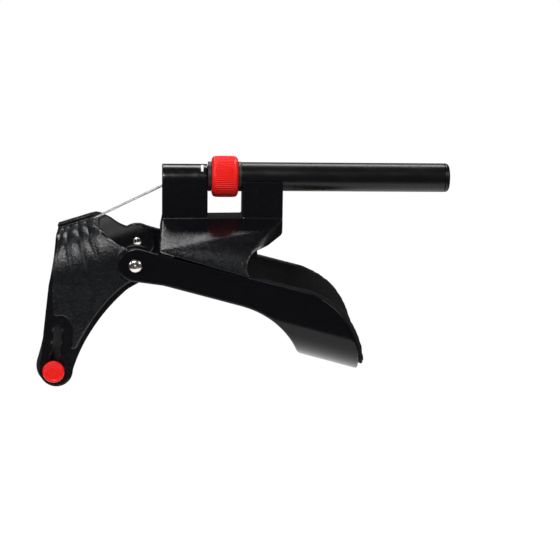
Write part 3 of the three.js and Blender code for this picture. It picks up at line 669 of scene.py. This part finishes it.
def true_cuff(points, normals):
    """Puts the cuff's walls on their true half ellipses, in place of the CAD model's flats."""
    x, y, z = points.T
    across = z * math.cos(FRAME_TILT) + x * math.sin(FRAME_TILT)
    under = np.minimum(across - CUFF_SPRING, 0)
    slope = np.array([math.sin(FRAME_TILT), 0, math.cos(FRAME_TILT)])
    for wall, way in ((0.0, 1), (FRAME_WALL, -1)):
        half, drop = FRAME_HALF_WIDTH - wall, CUFF_SPRING - CUFF_BOTTOM - wall
        reach = np.hypot(y / half, under / drop)
        radial = np.stack([np.zeros(x.shape), y / half**2, np.zeros(x.shape)], axis=1)
        radial += (under / drop**2)[:, None] * slope
        radial /= np.linalg.norm(radial, axis=1)[:, None] + 1e-9
        facing = ease(0.6, 0.9, way * (normals * radial).sum(axis=1))
        near = 1 - ease(0.012, 0.03, np.abs(reach - 1))
        grow = (1 / np.maximum(reach, 1e-6) - 1) * facing * near * (under < -0.5)
        points[:, 1] += y * grow
        points += (under * grow)[:, None] * slope
    return points


def frame_shell():
    """The side arms and cuff, one smooth moulding."""
    piece = fine_copy("frame_shell", "forearm_frame", 0.55 * MM, 8)
    points, normals = points_of(piece)
    move_points(piece, true_cuff(points, normals))
    relax(piece, np.ones(len(points)) * 0.8, 10)
    return finish_piece(piece, "frame", "gloss_black", "forearm_frame")


PUFF_PRESSURE = 4
PUFF_STEPS = 12


def puffed(piece, cap):
    """Lets air pressure swell a foam piece, by cap in mm at the most."""
    before, _ = points_of(piece)
    cloth = piece.modifiers.new("puffed", "CLOTH")
    cloth.settings.use_pressure = True
    cloth.settings.uniform_pressure_force = PUFF_PRESSURE
    cloth.settings.effector_weights.gravity = 0
    cloth.point_cache.frame_start = 1
    cloth.point_cache.frame_end = PUFF_STEPS
    for step in range(1, PUFF_STEPS + 1):
        bpy.context.scene.frame_set(step)
    bake_modifiers(piece)
    after, _ = points_of(piece)
    moved = after - before
    length = np.linalg.norm(moved, axis=1)[:, None]
    move_points(piece, before + moved * np.minimum(1, cap / np.maximum(length, 1e-6)))
    bpy.context.scene.frame_set(1)


def with_lip(points):
    """Behind the cuff's rear edge the lining stands out as a lip that covers the shell's edge."""
    x, y, z = points.T
    along = x * math.cos(FRAME_TILT) - z * math.sin(FRAME_TILT)
    across = z * math.cos(FRAME_TILT) + x * math.sin(FRAME_TILT)
    under = np.minimum(across - CUFF_SPRING, 0)
    half, drop = FRAME_HALF_WIDTH, CUFF_SPRING - CUFF_BOTTOM
    reach = np.hypot(y / half, under / drop)
    behind = ease(0.6, 1.6, along - (CUFF_LENGTH + LIP_LEAN * (across - CUFF_BOTTOM)))
    grow = 1 + behind * ease(0.82, 0.9, reach) * (0.985 / np.maximum(reach, 0.5) - 1)
    points[:, 1] *= grow
    slope = np.array([math.sin(FRAME_TILT), 0, math.cos(FRAME_TILT)])
    return points + (under * (grow - 1))[:, None] * slope


def soft_lining(name, node, cap):
    """A foam lining: a slightly drawn-in copy of its CAD solid that is puffed up, then made fine."""
    piece = fine_copy(name, node, 2.2 * MM, 3)
    points, normals = points_of(piece)
    points -= normals * cap * 0.6
    if node == "cuff_pad":
        points = with_lip(points)
    move_points(piece, points)
    puffed(piece, cap)
    finer = piece.modifiers.new("finer", "SUBSURF")
    finer.levels = 1
    bake_modifiers(piece)
    piece.data.shade_smooth()
    piece.data.materials.clear()
    return finish_piece(piece, "frame", "foam_black", node)


# ---- turned pieces -------------------------------------------------------------------------------


def turned_piece(node, body, material, profile, centre, axis="x", **extra):
    """A finely turned piece that stands for a CAD node."""
    piece = linked(node + "_fine", turned_mesh(node + "_fine", profile, centre, axis, **extra))
    return finish_piece(piece, body, material, node)


def carve(piece, *boxes):
    """Cuts boxes, each a lowest and a highest corner in mm, out of a piece."""
    for low, high in boxes:
        shape = bmesh.new()
        bmesh.ops.create_cube(shape, size=1)
        size = Vector(high) - Vector(low)
        bmesh.ops.scale(shape, vec=size * MM, verts=shape.verts)
        bmesh.ops.translate(shape, vec=(Vector(high) + Vector(low)) / 2 * MM, verts=shape.verts)
        mesh = bpy.data.meshes.new("cutter")
        shape.to_mesh(mesh)
        shape.free()
        cutter = linked("cutter", mesh)
        cutting = piece.modifiers.new("cut", "BOOLEAN")
        cutting.operation = "DIFFERENCE"
        cutting.solver = "EXACT"
        cutting.object = cutter
        materials_before = list(piece.data.materials)
        bake_modifiers(piece)
        piece.data.materials.clear()
        for material in materials_before:
            piece.data.materials.append(material)
        bpy.data.objects.remove(cutter)


def centre_of(node):
    """The middle of a node's box, in metres."""
    low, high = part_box(node)
    return (low + high) / 2


def radius_of(node):
    """Half a node's height, in mm, which is its radius if it is turned."""
    low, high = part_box(node)
    return (high.z - low.z) / 2 / MM


def knob():
    """The red knob, crowned and ribbed."""
    centre = centre_of("adjust_knob")
    low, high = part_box("adjust_knob")
    half = (high.x - low.x) / 2 / MM
    radius = radius_of("adjust_knob")
    bore = radius - 4.7

    def ribs(along, out, angle):
        """Fine axial ribs that run out before the knob's round ends."""
        if out < radius - 1.6:
            return 0.0
        share = 1 - float(ease(half - 3.6, half - 1.4, abs(along)))
        return -0.6 * share * (0.5 - 0.5 * math.cos(KNOB_RIBS * angle)) ** 1.5

    turns = np.linspace(-1.2, 1.2, 25)
    crown = [(half * math.sin(a), radius - 1.2 * (1 - math.cos(a)) ** 2) for a in turns]
    front = [
        (-half, bore), (-half, radius - 3.4), (-half + 0.3, radius - 2.2),
        (-half + 0.7, radius - 1.4),
    ]
    rear = [
        (half - 0.7, radius - 1.4), (half - 0.3, radius - 2.2), (half, radius - 3.4), (half, bore),
    ]
    profile = front + [(along * 0.9, out - 0.05) for along, out in crown] + rear
    return turned_piece(
        "adjust_knob", "knob", "red_plastic", profile, centre,
        sides=KNOB_RIBS * 8, closed=True, ripple=ribs,
    )


def grip_button(side, name):
    """The red cap: a dished disc with a raised round rim, on its stem."""
    low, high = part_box(f"grip_button_{name}")
    radius = radius_of(f"grip_button_{name}")
    face = max(abs(low.y), abs(high.y)) / MM
    root = min(abs(low.y), abs(high.y)) / MM
    under = face - 3
    collar = COLLAR_PLACE
    profile = [
        (root, 0), (root, 2.3), (collar, 2.3), (collar, 4), (collar + 1.8, 4), (collar + 1.8, 2.3),
        (under, 2.3), (under, radius), (face - 0.7, radius), (face, radius - 0.7),
        (face, radius - 1.5), (face - 0.5, radius - 2.1), (face - 0.75, radius - 4.4),
        (face - 0.8, 0),
    ]
    centre = centre_of(f"grip_button_{name}")
    middle_line = (centre.x, 0, centre.z)
    profile = [(side * along, out) for along, out in softened(profile, 0.5)]
    return turned_piece(
        f"grip_button_{name}", f"button_{name}", "red_plastic", profile, middle_line, "y"
    )


def rivet(side, name):
    """The pivot rivet: a nickel dome with a small dimple, on its shank."""
    low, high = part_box(f"pivot_rivet_{name}")
    face = max(abs(low.y), abs(high.y)) / MM
    root = min(abs(low.y), abs(high.y)) / MM
    brim = radius_of(f"pivot_rivet_{name}")
    turns = np.linspace(1.35, 0.28, 14)
    dome = [(face - 2.1 * (1 - math.cos(a)), brim * 0.97 * math.sin(a)) for a in turns]
    profile = [
        (root, 0), (root, 2.6), (root + 0.7, 3.1), (root + 1.6, 3.1), (root + 1.6, 2.1),
        (face - 2.6, 2.1), (face - 2.6, brim), (face - 2.0, brim), *dome, (face - 0.35, 0.75),
        (face - 0.6, 0),
    ]
    profile = [(side * along, out) for along, out in profile]
    return turned_piece(f"pivot_rivet_{name}", "frame", "nickel", profile, (0, 0, 0), "y", sides=72)


def washer(side, name):
    """The nylon washer between the yoke and an arm."""
    low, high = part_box(f"pivot_washer_{name}")
    near, far = sorted((abs(low.y) / MM, abs(high.y) / MM))
    outer = radius_of(f"pivot_washer_{name}")
    profile = softened([(near, 2.4), (near, outer), (far, outer), (far, 2.4)], 0.4, closed=True)
    profile = [(side * along, out) for along, out in profile]
    return turned_piece(
        f"pivot_washer_{name}", "frame", "nylon", profile, (0, 0, 0), "y", sides=72, closed=True
    )


def tube():
    """The powder-coated tube, with a spigot at its front and slots under the knob."""
    low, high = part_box("spring_tube")
    front, rear = low.x / MM, high.x / MM
    radius = radius_of("spring_tube")
    bore = radius - 1.6
    down = radius - 0.7
    step, shoulder = front + 8.6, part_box("knob_sleeve_rear")[1].x / MM + 0.3
    profile = softened(
        [
            (front, 5.4), (front, 7), (step, 7), (step, down), (shoulder, down),
            (shoulder, radius), (rear, radius), (rear, bore), (step + 2.7, bore),
            (step + 0.7, 5.4),
        ],
        0.35,
        closed=True,
    )
    centre = (0, 0, TUBE_HEIGHT * MM)
    piece = turned_piece(
        "spring_tube", "frame", "tube_black", profile, centre, sides=128, closed=True
    )
    seat = centre_of("adjust_knob").x / MM
    slot = ((seat - 8.3, -20, TUBE_HEIGHT - 1.75), (seat + 8.3, 20, TUBE_HEIGHT + 1.75))
    carve(piece, slot, SCREW_HOLE)
    piece.data.shade_smooth()
    piece.data.set_sharp_from_angle(angle=math.radians(40))
    return piece


def end_cap():
    """The tube's cap, with a rolled edge and a shallow dished face."""
    low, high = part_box("tube_end_cap")
    front, rear = low.x / MM, high.x / MM
    radius = radius_of("tube_end_cap")
    turns = np.linspace(0, 1.5, 12)
    rim = [(rear - 2.6 * (1 - math.sin(a)), radius - 2.6 * (1 - math.cos(a))) for a in turns]
    profile = [
        (front, 0), (front, 7.7), (front + 0.5, 8.1), (front + 7.9, 8.1), (front + 8, 8.2),
        (front + 8, radius - 0.2), (front + 8.2, radius), *rim, (rear - 0.05, radius - 3.4),
        (rear - 0.3, radius - 4), (rear - 0.4, 0),
    ]
    return turned_piece(
        "tube_end_cap", "frame", "tube_black", profile, (0, 0, TUBE_HEIGHT * MM), sides=128
    )


def sleeve(node):
    """A thrust sleeve beside the knob."""
    low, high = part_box(node)
    front, rear = low.x / MM, high.x / MM
    outer = radius_of(node)
    inner = outer - 0.7
    profile = [(front, inner), (front, outer), (rear, outer), (rear, inner)]
    profile = softened(profile, 0.2, closed=True)
    return turned_piece(node, "frame", "nylon", profile, (0, 0, TUBE_HEIGHT * MM), closed=True)


def grip_sleeve():
    """The foam sleeve on the hand grip, with swollen, softly rounded ends."""
    _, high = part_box("grip_foam")
    half = high.y / MM
    radius = radius_of("grip_foam")
    centre = centre_of("grip_foam")
    outside = []
    for along in np.linspace(-1, 1, 61):
        edge = 1 - abs(along) ** 14
        waist = 0.35 * (1 - along**2)
        outside.append((along * half, 6.6 + (radius - 6.6 - waist) * edge**0.5))
    profile = [(-half + 0.5, 5.3), *outside, (half - 0.5, 5.3)]
    middle_line = (centre.x, 0, centre.z)
    piece = turned_piece(
        "grip_foam", "grip", "foam_black", profile, middle_line, "y", sides=120, closed=True
    )
    return piece


# ---- cable ---------------------------------------------------------------------------------------


def twisted_cable(node, body, start, end):
    """A steel cable of twisted strands between two points of the middle plane, (x, z) in mm."""
    start, end = Vector((start[0], 0, start[1])), Vector((end[0], 0, end[1]))
    along = (end - start).normalized()
    side = Vector((0, 1, 0))
    up = along.cross(side)
    steps = max(12, int((end - start).length / 0.35))
    sides = CABLE_SIDES
    vertices, faces = [], []
    for i in range(steps + 1):
        centre = start.lerp(end, i / steps)
        twist = 2 * math.pi * (end - start).length * i / steps / CABLE_LAY
        for k in range(sides):
            angle = 2 * math.pi * k / sides
            lobe = abs(math.sin(CABLE_STRANDS * (angle - twist) / 2))
            out = CABLE_RADIUS * (0.74 + 0.26 * lobe)
            vertices.append((centre + (side * math.cos(angle) + up * math.sin(angle)) * out) * MM)
    for i in range(steps):
        for k in range(sides):
            here, after = i * sides + k, i * sides + (k + 1) % sides
            faces.append((here, after, after + sides, here + sides))
    faces.append(tuple(reversed(range(sides))))
    faces.append(tuple(steps * sides + k for k in range(sides)))
    mesh = bpy.data.meshes.new(node + "_strands")
    mesh.from_pydata(vertices, [], faces)
    mesh.shade_smooth()
    return finish_piece(linked(node + "_strands", mesh), body, "steel", node)


def cables():
    """The cable from the yoke to the roller, and the one inside the tube."""
    low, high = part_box("cable_front")
    slant = math.atan2(high.z - low.z, high.x - low.x)
    inset = Vector((CABLE_RADIUS * math.sin(slant), CABLE_RADIUS * math.cos(slant)))
    start = (low.x / MM + inset.x, low.z / MM + inset.y)
    end = (high.x / MM - inset.x, high.z / MM - inset.y)
    twisted_cable("cable_front", "cable_front", start, end)
    low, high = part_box("cable_inner")
    twisted_cable("cable_inner", "plunger", (low.x / MM, TUBE_HEIGHT), (high.x / MM, TUBE_HEIGHT))


# ---- CAD nodes that stay as they are, and the making of the scene --------------------------------

CARRIED = {
    "white_mark": ["index_mark"],
    "steel": [
        "tube_screw", "grip_core", "button_spring_left", "button_spring_right",
        "resistance_spring", "plunger", "roller_pin", "saddle_screw_front_left",
        "saddle_screw_front_right", "saddle_screw_rear_left", "saddle_screw_rear_right",
    ],
    "nickel": ["spring_seat", "cable_anchor", "guide_roller"],
}


def carry_over():
    """Gives the CAD nodes that stay visible their materials."""
    for material, nodes in CARRIED.items():
        for node in nodes:
            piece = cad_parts[node]
            piece.data.materials.clear()
            piece.data.materials.append(materials[material])
            piece.data.shade_smooth()
            piece.data.set_sharp_from_angle(angle=math.radians(35))


add_studio()
materials = make_materials()
carry_over()
yoke_shell()
saddle_shell()
frame_shell()
soft_lining("cuff_lining", "cuff_pad", 0.9)
soft_lining("saddle_lining", "saddle_pad", 0.7)
knob()
for side, name in ((-1, "right"), (1, "left")):
    grip_button(side, name)
    rivet(side, name)
    washer(side, name)
tube()
end_cap()
sleeve("knob_sleeve_front")
sleeve("knob_sleeve_rear")
grip_sleeve()
cables()
